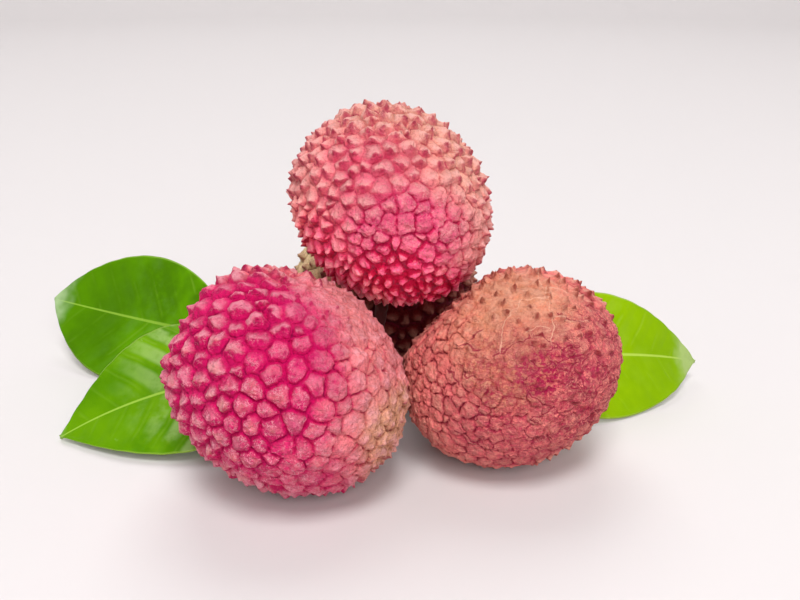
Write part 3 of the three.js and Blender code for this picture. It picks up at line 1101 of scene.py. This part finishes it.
@dataclass
class Leaf:
    """One leaf with its petiole, bent along an arc from where its blade starts, in degrees."""

    name: str
    base: Triple
    turn: Triple  # yaw, pitch and roll
    length: float
    half_width: float
    droop: float
    fold: float
    base_taper: float
    tip_taper: float
    petiole: float
    seed: int
    thickness: float = 0.42
    petiole_radius: float = 0.8
    tip_half_width: float = 0.3
    blade_steps: int = 110
    petiole_steps: int = 8
    width_steps: int = 56
    wave: float = 0.35  # how far the margin rises and falls
    wave_length: float = 9.0
    pillow: float = 0.16  # how far the blade swells between its side veins
    rib_half_width: float = 0.65
    rib_groove: float = 0.12  # how deep the midrib lies above, and how far it stands out below
    rib_keel: float = 0.45

    def blade_half_width(self, share: Array) -> Array:
        """Half-width of the blade.

        Args:
            share: Places along its length, from 0 to 1.

        Returns:
            One half-width a place.
        """
        a, b = self.base_taper, self.tip_taper
        widest = a / (a + b)
        inner = np.clip(share, 0, 1)
        return self.half_width * inner**a * (1 - inner) ** b / (widest**a * (1 - widest) ** b)

    def placed(self, local: Array) -> Array:
        """Points from the leaf's own axes to the bunch's."""
        yaw, pitch, roll = (math.radians(angle) for angle in self.turn)
        return local @ np.array(Euler((roll, -pitch, yaw)).to_matrix()).T + np.array(self.base)

    def build(self) -> Object:
        """The leaf's mesh with its masks.

        Returns:
            The new object.
        """
        petiole = -np.arange(self.petiole_steps, 0, -1) / self.petiole_steps
        share = np.r_[petiole, np.linspace(0, 1, self.blade_steps + 1)][:, None]
        along = np.where(share < 0, share * self.petiole, share * self.length)
        cross = np.linspace(-1, 1, self.width_steps + 1)
        ring = np.r_[cross, cross[-2:0:-1]]
        side = np.r_[np.ones(len(cross)), -np.ones(len(cross) - 2)]
        fade = 1 - ramp(0, 0.18, share)
        narrow = self.tip_half_width + (self.petiole_radius - self.tip_half_width) * fade
        across = ring * np.maximum(self.blade_half_width(share) * (share > 0), narrow)
        thick = self.thickness + (2 * self.petiole_radius - self.thickness) * fade
        profile = np.sqrt(np.clip(1 - np.abs(ring) ** (2 + 10 * (1 - fade)), 0, 1))
        rib = bell(across, self.rib_half_width) * (1 - share.clip(0, 1)) ** 0.6
        slant = along - VEIN_SLANT * np.abs(across) - VEIN_CURVE * across**2
        vein = np.abs(((slant + VEIN_STAGGER * (ring > 0)) / VEIN_SPACING) % 1 - 0.5) * 2
        pillow = (np.abs(np.cos(vein * math.pi / 2)) - 0.6) * ramp(0.05, 0.35, np.abs(ring))
        margin = ramp(0.55, 1, np.abs(ring))
        edges = np.zeros((*across.shape, 3))
        edges[:, :, 0] = along + 50 * np.sign(ring)
        ripple = clouds(edges.reshape(-1, 3), self.wave_length, self.seed).reshape(across.shape)
        lift = np.abs(across) * math.sin(math.radians(self.fold))
        lift = lift + side * profile * thick / 2
        lift = lift + (1 - fade) * (self.pillow * pillow + self.wave * ripple * margin)
        lift = lift - (1 - fade) * rib * np.where(side > 0, self.rib_groove, self.rib_keel)
        bend = math.radians(self.droop) / self.length
        turned = np.maximum(along, 0) * bend
        arc_x = np.where(share < 0, along, np.sin(turned) / bend)
        arc_z = np.where(share < 0, 0, (np.cos(turned) - 1) / bend)
        flat = across * math.cos(math.radians(self.fold))
        local = (arc_x + lift * np.sin(turned), flat, arc_z + lift * np.cos(turned))
        points = self.placed(np.stack(local, axis=2).reshape(-1, 3))
        rings, around = across.shape
        points = np.vstack([points, points[:around].mean(0), points[-around:].mean(0)])

        def spread(values: Array) -> Array:
            """One value a corner, with one more for each end."""
            full = np.broadcast_to(values, across.shape).ravel()
            return np.r_[full, full[0], full[-1]]

        masks = {
            "along": spread(along) / CM,
            "across": spread(across) / CM,
            "reach": spread(ring),
            "share": spread(share),
            "under": spread((side < 0) * 1.0),
        }
        faces = tube_faces(rings, around)[:, ::-1]
        return make_mesh(self.name + "_blade", seat(points, self.name), faces, masks)


def leaf_group(speckle: Tree) -> Tree:
    """Group that turns a leaf's masks into its colour.

    Args:
        speckle: The speckle group.

    Returns:
        The group.
    """
    takes = dict.fromkeys((*LEAF_MASKS, "Curl start", "Sheen"), "Float")
    takes |= dict.fromkeys(LEAF_COLOURS, "Color")
    gives = {"Color": "Color", "Roughness": "Float", "Height": "Float"}
    group, w, given, out = new_group("Leaf", takes, gives)
    along, across, reach, share, under = (given[label] for label in LEAF_MASKS)
    deep, bright, vein, underside, pale = (given[label] for label in LEAF_COLOURS)
    off = w.math("ABSOLUTE", across)
    slant = w.line(w.times(off, off), -VEIN_CURVE * CM, w.line(off, -VEIN_SLANT, along))
    slant = w.line(w.math("GREATER_THAN", across, 0.0), VEIN_STAGGER / CM, slant)
    slant = w.swing(w.noise(160.0, 1.0), 0.12, slant)
    line = w.off(w.math("FRACT", w.math("DIVIDE", slant, VEIN_SPACING / CM)), 0.5)
    side_vein = w.times(w.step(line, 0.1, 0.0), w.spots(130.0, 2.0, 0.42, 0.62))
    rib = w.step(w.math("DIVIDE", off, w.line(share, -0.035, 0.048)), 1.2, 0.4)
    fine = w.noise(900.0, 3.0)
    # pale streaks between the side veins near the base: painted sheen
    between = w.times(w.step(line, 0.1, 0.3), w.step(share, 0.8, 0.3), given["Sheen"])
    scuff = w.times(w.group(speckle, Scale=420.0, Cover=0.12)[0], w.spots(90.0, 1.0, 0.5, 0.65))
    curl = w.math("SUBTRACT", w.line(w.noise(260.0, 2.0), 0.12, share), given["Curl start"])
    layers = (
        (w.spots(95.0, 3.0, 0.35, 0.68), bright),
        (w.times(w.step(fine, 0.45, 0.75), 0.25), bright),
        (w.times(side_vein, 0.2), vein),
        # darker towards the tip: painted shade
        (w.times(w.step(share, 0.3, 0.75), 0.65), deep),
        (w.times(w.spots(150.0, 4.0, 0.42, 0.66), between), pale),
        (w.times(scuff, 0.35), pale),
        (w.times(rib, 0.65), vein),
        (w.times(w.step(w.math("ABSOLUTE", reach), 0.965, 0.995), 0.7), vein),
        (w.step(curl, 0.06, 0.15), pale),
        (w.times(under, 0.7), underside),
    )
    w.feed(out["Color"], w.layered(deep, layers))
    w.feed(out["Roughness"], w.line(w.noise(500.0, 2.0), 0.2, 0.3))
    w.feed(out["Height"], w.line(side_vein, -0.5, w.times(fine, 0.4)))
    return group


@dataclass(frozen=True)
class LeafFinish:
    """Colours of one leaf."""

    name: str
    deep: str
    bright: str
    vein: str
    underside: str
    pale: str
    curl_start: float
    sheen: float

    def material(self, leaf: Tree) -> Material:
        """The finish as a material.

        Args:
            leaf: The leaf group.

        Returns:
            The material.
        """
        made, w, shader = new_material(self.name)
        sockets = looks(LEAF_MASKS, LEAF_COLOURS, w, self)
        look = w.group(leaf, **sockets, Curl_start=self.curl_start, Sheen=self.sheen)
        bump = {"Strength": 0.5, "Distance": 0.0002, "Height": look["Height"]}
        w.feed(shader["Base Color"], look["Color"])
        w.feed(shader["Roughness"], look["Roughness"])
        w.feed(shader["Normal"], w.add("ShaderNodeBump", {}, bump).outputs[0])
        shader["Specular IOR Level"].default_value = 0.05
        return made


# ---- Stalk ----


def smooth_route(stops: Array, steps: int) -> Array:
    """Points along a smooth curve through stops.

    Args:
        stops: Places that the curve passes through, one a row.
        steps: Triples between two stops.

    Returns:
        The points, one a row.
    """
    ends = np.vstack([2 * stops[0] - stops[1], stops, 2 * stops[-1] - stops[-2]])
    share = np.linspace(0, 1, steps, endpoint=False)[:, None]
    parts = []
    for a, b, c, d in zip(ends, ends[1:], ends[2:], ends[3:]):
        bend = 2 * a - 5 * b + 4 * c - d
        twist = 3 * b - a - 3 * c + d
        parts.append(0.5 * (2 * b + (c - a) * share + bend * share**2 + twist * share**3))
    return np.vstack([*parts, stops[-1:]])


def tube(route: Array, radii: Array, sides: int = 20) -> Tube:
    """Closed round tube along a route.

    Args:
        route: Middle line, one point a row.
        radii: Radius at each point.
        sides: Corners round the tube.

    Returns:
        Corners and triangles.
    """
    ahead = unit(np.gradient(route, axis=0))
    side = unit(np.cross(ahead[0], (0.3, 0.5, 0.8)))
    rings = []
    angles = np.linspace(0, 2 * math.pi, sides, endpoint=False)[:, None]
    for place, way, radius in zip(route, ahead, radii):
        side = unit(side - way * (side @ way))
        spoke = np.cos(angles) * side + np.sin(angles) * np.cross(way, side)
        rings.append(place + radius * spoke)
    return np.vstack([*rings, route[:1], route[-1:]]), tube_faces(len(route), sides)


@dataclass
class Stalk:
    """The woody stalk: an axis, its fork, a pedicel to each fruit and a twig to each leaf."""

    axis_stops: tuple[Triple, ...] = (
        (2.5, -3.4, 6.4), (10, 2.5, 3), (16, 11, 1.95), (21.5, 21, 1.95), (26, 32, 1.95),
    )
    left_twig_fork: Triple = (-11.5, -1, 6.4)
    axis_radius: float = 1.75
    fork_radius: float = 2.1
    pedicel_radius: float = 1.0
    twig_radius: float = 0.85
    twig_approach: float = 1.8
    calyx_radius: float = 1.75
    calyx_height: float = 1.3
    calyx_standoff: float = 0.9
    bark_height: float = 0.09  # of the coarse bark, and of the fine
    fine_bark_height: float = 0.05
    voxel: float = 0.2

    def pedicel(self, fruit: Fruit) -> list[Tube]:
        """One fruit's pedicel and calyx button.

        Args:
            fruit: The fruit.

        Returns:
            Their tubes.
        """
        way = fruit.stem_way()
        reach = float(fruit.skin(way[None, :])[0]) + self.calyx_standoff
        button = np.array(fruit.centre) + way * reach
        line = np.linspace(np.array(FORK), button + way * 0.4, 12)
        swell = self.pedicel_radius * (1 + 0.15 * np.sin(np.linspace(0, 5, 12) + fruit.seed))
        height = np.array([-0.25, 0.0, 0.25, 0.6, 1.0, 1.6]) * self.calyx_height
        flare = np.array([1.05, 1.12, 1.0, 0.85, 0.66, 0.5]) * self.calyx_radius
        return [tube(line, swell), tube(button + way * height[:, None], flare, 28)]

    def parts(self, grown: list[Fruit], blades: list[Leaf]) -> list[Tube]:
        """All the tubes, before they are fused.

        Args:
            grown: The fruits.
            blades: The leaves: upper left, lower left and right.

        Returns:
            The tubes.
        """
        fork = np.array(FORK)
        axis = smooth_route(np.vstack([fork, self.axis_stops]), 14)
        taper = np.linspace(0.92, 1.0, len(axis)) * self.axis_radius
        knots = 1 + 0.12 * bell(np.linspace(0, 1, len(axis)) - 0.62, 0.03)
        made = [tube(axis, taper * knots, 28)]
        along = np.linspace(-1, 1, 13)
        for size, ahead in ((1, (1, 0.4, -0.2)), (0.92, (-1, 0.5, 0.1))):
            radius = self.fork_radius * size
            ball = fork + np.outer(along, unit(np.array(ahead))) * radius
            made.append(tube(ball, radius * np.sqrt(np.maximum(1 - along**2, 0.01)), 24))
        for fruit in grown:
            made += self.pedicel(fruit)
        starts = ([fork, self.left_twig_fork], [self.left_twig_fork], [self.axis_stops[0]])
        for start, leaf in zip(starts, blades):
            back = -leaf.petiole - np.array([self.twig_approach + 0.3, -0.25])
            ends = leaf.placed(np.stack([back, back * 0, back * 0], axis=1))
            route = smooth_route(np.vstack([*start, ends]), 12)
            swell = 1 + 0.28 * bell(np.linspace(0, 1, len(route)) - 0.97, 0.05)
            made.append(tube(route, self.twig_radius * swell))
        return made

    def build(self, grown: list[Fruit], blades: list[Leaf]) -> Object:
        """The stalk's mesh with its masks.

        Args:
            grown: The fruits.
            blades: The leaves.

        Returns:
            The new object.
        """
        points, faces, count = [], [], 0
        for corners, triangles in self.parts(grown, blades):
            points.append(corners)
            faces.append(triangles + count)
            count += len(corners)
        rough = make_mesh("stalk_rough", np.vstack(points), np.vstack(faces), {})
        fuse = rough.modifiers.new("fuse", "REMESH")
        fuse.mode = "VOXEL"
        fuse.voxel_size = self.voxel * MM
        even = rough.modifiers.new("even", "SMOOTH")
        even.iterations = 4
        graph = bpy.context.evaluated_depsgraph_get()
        fused = bpy.data.meshes.new_from_object(rough.evaluated_get(graph))
        fused.calc_loop_triangles()
        places, normals = np.empty((2, len(fused.vertices) * 3))
        fused.vertices.foreach_get("co", places)
        fused.vertices.foreach_get("normal", normals)
        corners = np.empty(len(fused.loop_triangles) * 3, int)
        fused.loop_triangles.foreach_get("vertices", corners)
        bpy.data.objects.remove(rough)
        places, normals = places.reshape(-1, 3) / MM, normals.reshape(-1, 3)
        end, before = (np.array(self.axis_stops[i]) for i in (-1, -2))
        near_cut = np.linalg.norm(places - end, axis=1) < self.axis_radius * 1.6
        cut = near_cut * ramp(0.3, 0.12, (end - places) @ unit(end - before))
        axis = smooth_route(np.vstack([FORK, self.axis_stops]), 6)
        off_axis = np.min(np.linalg.norm(places[:, None, :] - axis[None, :, :], axis=2), axis=1)
        bark = self.bark_height * rough_clouds(places, 1.2, 70)
        bark += self.fine_bark_height * rough_clouds(places, 0.45, 71, 2)
        places = places + normals * (bark * (1 - cut))[:, None]
        masks = {"cut": cut, "young_and_shade": ramp(3, 9, off_axis)}
        return make_mesh("stalk_bark", seat(places, "stalk"), corners.reshape(-1, 3), masks)


@dataclass(frozen=True)
class BarkFinish:
    """Colours of the stalk."""

    name: str = "bark"
    old: str = "#5f4330"
    ridge: str = "#8a6a4c"
    # near-black crimson on pedicels and twigs: partly young bark, partly painted shade in the
    # hollow between the fruits
    young_and_shade: str = "#4c080e"
    wood: str = "#d9c39a"
    pore: str = "#b99c78"

    def material(self, speckle: Tree, relief: Tree) -> Material:
        """The finish as a material.

        Args:
            speckle: The speckle group, for the bark's pores.
            relief: The fine relief group.

        Returns:
            The material.
        """
        made, w, shader = new_material(self.name)
        layers = (
            (w.spots(900.0, 4.0, 0.4, 0.65), paint(self.ridge)),
            (w.times(w.group(speckle, Scale=1100.0, Cover=0.25)[0], 0.7), paint(self.pore)),
            (w.times(w.mask("young_and_shade"), 0.96), paint(self.young_and_shade)),
            (w.mask("cut"), paint(self.wood)),
        )
        w.feed(shader["Base Color"], w.layered(paint(self.old), layers))
        w.feed(shader["Normal"], w.group(relief, Scale=1400.0, Strength=0.7, Depth=0.0003)[0])
        shader["Roughness"].default_value = 0.82
        return made


# ---- Camera, lights and floor ----


@dataclass
class Studio:
    """Pale sweep, soft lights and the camera."""

    aim: Triple = (6.7, 5.9, 20.0)
    distance: float = 174.0
    elevation: float = 20.0
    lens: float = 44.55
    floor_radius: float = 950.0
    bend_radius: float = 450.0
    wall_top: float = 1700.0
    lights: tuple = (  # name, place, side of the square and watts
        ("front", (10, -640, 1200), 480, 12.0),
        ("low_front", (240, -900, 560), 500, 4.6),
        ("behind", (-40, 780, 1180), 900, 8.9),
    )

    def stand(self, name: str, data: bpy.types.ID, place: Vector) -> Object:
        """Puts a camera or a light in its place, aimed at the bunch.

        Args:
            name: Name of the object.
            data: The camera or light.
            place: Where it stands, in millimetres.

        Returns:
            The new object.
        """
        held = bpy.data.objects.new(name, data)
        bpy.context.collection.objects.link(held)
        held.location = place * MM
        held.rotation_euler = (Vector(self.aim) - place).to_track_quat("-Z", "Y").to_euler()
        return held

    def camera(self) -> None:
        """Camera in front of the bunch, a little above it."""
        lens = bpy.data.cameras.new("camera")
        lens.lens = self.lens
        lens.sensor_width = 36.0
        lens.clip_start, lens.clip_end = 0.01, 10.0
        angle = math.radians(self.elevation)
        back = Vector((0, -math.cos(angle), math.sin(angle)))
        place = Vector(self.aim) + back * self.distance
        bpy.context.scene.camera = self.stand("camera", lens, place)

    def sweep(self) -> None:
        """Round floor that curves up into a backdrop on every side."""
        sides, bend_steps = 72, 24
        profile = [(0.5, 0.0), (self.floor_radius, 0.0)]
        for angle in np.linspace(0, math.pi / 2, bend_steps + 1)[1:]:
            rise = self.bend_radius * (1 - math.cos(angle))
            profile.append((self.floor_radius + self.bend_radius * math.sin(angle), rise))
        profile.append((self.floor_radius + self.bend_radius, self.wall_top))
        turns = np.arange(sides) * 2 * math.pi / sides
        points = [(r * math.cos(t), r * math.sin(t), z) for r, z in profile for t in turns]
        faces = tube_faces(len(profile), sides)[:-sides, ::-1]  # open at the top
        sweep = make_mesh("sweep", np.array([*points, (0.0, 0.0, 0.0)]), faces, {})
        paper, _, shader = new_material("pale paper")
        shader["Base Color"].default_value = paint("#dad6d6")
        shader["Roughness"].default_value = 0.55
        shader["Specular IOR Level"].default_value = 0.04
        sweep.data.materials.append(paper)

    def build(self) -> None:
        """The whole set."""
        self.camera()
        self.sweep()
        world = bpy.data.worlds.new("room")
        world.use_nodes = True
        sky = world.node_tree.nodes["Background"]
        sky.inputs["Color"].default_value = paint("#fffafa")
        sky.inputs["Strength"].default_value = 0.1
        bpy.context.scene.world = world
        for name, place, size, power in self.lights:
            lamp = bpy.data.lights.new(name, "AREA")
            lamp.size = size * MM
            lamp.energy = power
            self.stand(name, lamp, Vector(place))
        bpy.context.scene.view_settings.view_transform = "Standard"


# ---- The bunch ----


FRUITS = [
    Fruit(
        "fruit_left", "rind_magenta", (-17.5, -27.2, 17.4), (19.6, 16.3, 18.1), -33, 1.0, 2.55, 1,
        (
            Patch(Trait.PLATED, (0.4, -0.3, 0.9), 46, 26),
            Patch(Trait.PLATED, (1.0, 0.2, 0.1), 45),
            Patch(Trait.BLUSH, (-0.45, 0.15, 0.9), 60, 34),
            Patch(Trait.BLUSH, (-0.8, 0.1, -0.6), 50, 40),
            Patch(Trait.BLUSH, (-0.1, -0.85, 0.5), 44, 34, 0.85),
            Patch(Trait.OPEN, (-0.15, 0.12, 1.0), 36, 34, 0.9),
            Patch(Trait.TAN, (0.88, -0.42, 0.24), 26, 18),
            Patch(Trait.FINE, (0.85, -0.45, 0.28), 28, 18),
            Patch(Trait.SMOOTH, (0.6, 0.68, 0.42), 30, 24, 0.8),
            Patch(Trait.DUSTY, (-0.4, -0.45, 0.8), 48, 36, 0.42),
        ),
        hook=0.55, ridged=0.5, cones=0.5, thorns=0.22, hollow=1.1, coarse=1.5,
        flat_toward=(-0.86, 0.18, 0.48), flat_from=17.0,
    ),
    Fruit(
        "fruit_right", "rind_brown", (17.6, -18.9, 16.0), (17.8, 15.5, 16.5), 25, 0.75, 2.1, 2,
        (
            Patch(Trait.PLATED, (-0.5, -0.3, 0.8), 58),
            Patch(Trait.COARSE, (0.1, 0.7, 0.7), 38, 16),
            Patch(Trait.FINE, (-0.7, 0.1, 0.7), 44, 24, 0.6),
            Patch(Trait.SMOOTH, (0.05, 0.66, 0.76), 36, 24),
            Patch(Trait.WRINKLED, (0.72, -0.1, 0.65), 42, 24),
            Patch(Trait.WRINKLED, (0.1, -0.55, 0.8), 30, 24, 0.7),
            Patch(Trait.WRINKLED, (-0.16, 0.04, 0.98), 24, 22, 0.7),
            Patch(Trait.TAN, (-0.18, 0.08, 0.98), 22, 20, 0.95),
            Patch(Trait.TAN, (-0.08, 0.6, 0.8), 35, 36, 0.9),
            Patch(Trait.BLUSH, (0.17, -0.02, 0.98), 10, 6),
            Patch(Trait.BLUSH, (0.38, 0.08, 0.9), 13, 8),
            Patch(Trait.BLUSH, (0.66, -0.04, 0.8), 15, 12, 0.8),
            Patch(Trait.BLUSH, (0.75, 0.1, 0.65), 26, 24, 0.55),
            Patch(Trait.BLUSH, (0.2, -0.45, 0.9), 50, 40, 0.6),
            Patch(Trait.DUSTY, (0.6, -0.2, 0.8), 60, 40, 0.15),
        ),
        points=0.8, coarse=1.5, cones=1.4, cuts=7, flat_toward=(-0.68, 0.25, 0.69), flat_from=13.8,
        vein_routes=(
            ((0.2, 0.93, 0.3), (0.22, 0.8, 0.55), (0.26, 0.55, 0.8), (0.27, 0.26, 0.92)),
            ((0.22, 0.75, 0.6), (0.4, 0.72, 0.56), (0.55, 0.64, 0.53)),
            ((0.24, 0.66, 0.7), (0.02, 0.66, 0.75), (-0.12, 0.5, 0.85), (-0.2, 0.2, 0.95)),
            ((0.26, 0.5, 0.83), (0.42, 0.44, 0.8), (0.6, 0.44, 0.66)),
            ((0.27, 0.4, 0.87), (0.05, 0.36, 0.93)),
        ),
    ),
    Fruit(
        "fruit_top", "rind_salmon", (-1.4, -9.5, 39.7), (17.0, 15.4, 16.3), 137, 0.92, 2.18, 3,
        (
            Patch(Trait.PLATED, (0.38, -0.56, 0.74), 43, 24),
            Patch(Trait.BLUSH, (-0.2, 0.05, 0.95), 34, 44, 0.56),
            Patch(Trait.BLUSH, (0.08, -0.5, 0.86), 37, 36, 0.95),
            Patch(Trait.BLUSH, (-0.6, -0.7, 0.4), 32, 34, 0.9),
            Patch(Trait.BLUSH, (0.35, -0.85, 0.35), 30, 30, 0.9),
            Patch(Trait.CRIMSON, (0.0, -0.95, 0.3), 40, 26),
            Patch(Trait.CRIMSON, (-0.78, -0.6, 0.3), 32, 34),
            Patch(Trait.FINE, (0.0, -0.8, 0.5), 36, 20, 0.8),
            Patch(Trait.TAN, (0.62, 0.75, 0.35), 50, 50, 0.9),
            Patch(Trait.TAN, (0.0, 0.9, 0.45), 30, 34, 0.9),
            Patch(Trait.DUSTY, (0.1, -0.5, 0.86), 44, 40, 0.18),
            Patch(Trait.DUSTY, (0.05, 0.88, 0.45), 34, 34, 0.55),
        ),
        hook=0.6, thorns=0.3, coarse=2.1, cuts=7, rests=False,
    ),
    Fruit(
        "fruit_back", "rind_tan", (-3.0, 16.0, 17.2), (17.7, 17.2, 17.4), 10, 0.95, 2.4, 4,
        (
            Patch(Trait.PLATED, (0.3, -0.5, -0.8), 50),
            Patch(Trait.TAN, (-0.6, 0.75, 0.3), 50, 40),
            # The side facing the hollow between the fruits is painted near-black crimson: painted
            # shade.
            Patch(Trait.CRIMSON, (0.3, 0.1, 0.95), 50, 30),
            Patch(Trait.BLUSH, (0.35, 0.12, 0.9), 56, 20),
            Patch(Trait.DUSTY, (-0.6, 0.2, -0.6), 45, 30, 0.6),
        ),
    ),
]

RIND_FINISHES = {
    "fruit_left": RindFinish(
        "magenta rind", "#f48686", "#e0206c", "#e4a480", "#da3060", "#d80060", "#a85840",
        pale_fleck="#fcb4c0", dark_fleck="#900044", tip_colour="#a8084a",
    ),
    "fruit_right": RindFinish(
        "brown rind", "#fa807c", "#bc124e", "#e2906c", "#9a2636", "#a00c40", "#ac5440",
        pale_fleck="#f6bca2", dark_fleck="#802a30", tip_colour="#8a2c22",
    ),
    # fruit_top's crimson ground is bright red: partly its own colour, partly painted light on the
    # shaded underside.
    "fruit_top": RindFinish(
        "salmon rind", "#fe9a96", "#f04c80", "#f6b09a", "#dc465e", "#d60854", "#c84450",
        crimson_ground="#e00042", pale_fleck="#ffbeb8", dark_fleck="#bc3c5c", tip_colour="#b03850",
    ),
    # Near-black blush skin, blush groove and crimson ground, and a dulled pale fleck: painted shade
    # on fruit_back's side in the hollow between the fruits.
    "fruit_back": RindFinish(
        "tan rind with painted shade", "#d88878", "#60040a", "#ffe2ac", "#902c2c", "#4a0006", "#b08858",
        crimson_ground="#4a0006", pale_fleck="#c8907c",
    ),
}

LEAVES = [
    Leaf(
        "leaf_upper_left", (-29.8, 4.3, 10.7), turn=(146.3, -4.7, -52), length=45.3,
        half_width=12.8, droop=-16, fold=4.8, base_taper=0.95, tip_taper=0.81, petiole=8, seed=11,
    ),
    Leaf(
        "leaf_lower_left", (-21, -3, 6.8), turn=(208.4, 12.1, -27.7), length=39.7,
        half_width=13.6, droop=48.3, fold=3.9, base_taper=0.81, tip_taper=1.09, petiole=5, seed=12,
    ),
    Leaf(
        "leaf_right", (19.4, -2.4, 9.5), turn=(-4.9, 8.7, 54.8), length=41.5,
        half_width=11.6, droop=59.6, fold=1, base_taper=0.71, tip_taper=1.08, petiole=4.5, seed=13,
    ),
]

# The upper left leaf is painted darker and the right leaf brighter: partly their own greens, partly
# painted shade and light.
LEAF_FINISHES = {
    "leaf_upper_left": LeafFinish(
        "dark leaf with painted shade", "#447400", "#609c00", "#94bc40", "#8fae62", "#9cb884", 0.9, 0.1,
    ),
    "leaf_lower_left": LeafFinish(
        "mid leaf", "#4c8000", "#7aac08", "#a2c84c", "#9aba68", "#a8c47a", 0.97, 0.75,
    ),
    "leaf_right": LeafFinish(
        "bright leaf with painted light", "#769e00", "#8cb200", "#b4d058", "#a4c26a", "#9cb468", 0.8, 0.1,
    ),
}


def main() -> None:
    """Builds the bunch around its CAD frame and reports each piece."""
    logging.basicConfig(level=logging.INFO, format="%(message)s")
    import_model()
    speckle, relief = speckle_group(), fine_relief_group()
    rind, leaf = rind_group(speckle), leaf_group(speckle)
    pieces = []
    for fruit in FRUITS:
        finish = RIND_FINISHES[fruit.name].material(rind, relief)
        pieces.append((fruit.build(), fruit.name, fruit.slot, finish))
    for blade in LEAVES:
        finish = LEAF_FINISHES[blade.name].material(leaf)
        pieces.append((blade.build(), blade.name, "leaf_green", finish))
    finish = BarkFinish().material(speckle, relief)
    pieces.append((Stalk().build(FRUITS, LEAVES), "stalk", "bark", finish))
    for made, node, slot, finish in pieces:
        made.data.materials.append(finish)
        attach(made, BODY)
        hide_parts(node)
        LOG.info("%s: %d triangles, %s", made.name, len(made.data.polygons), finish.name)
    Studio().build()


if __name__ == "__main__":
    main()
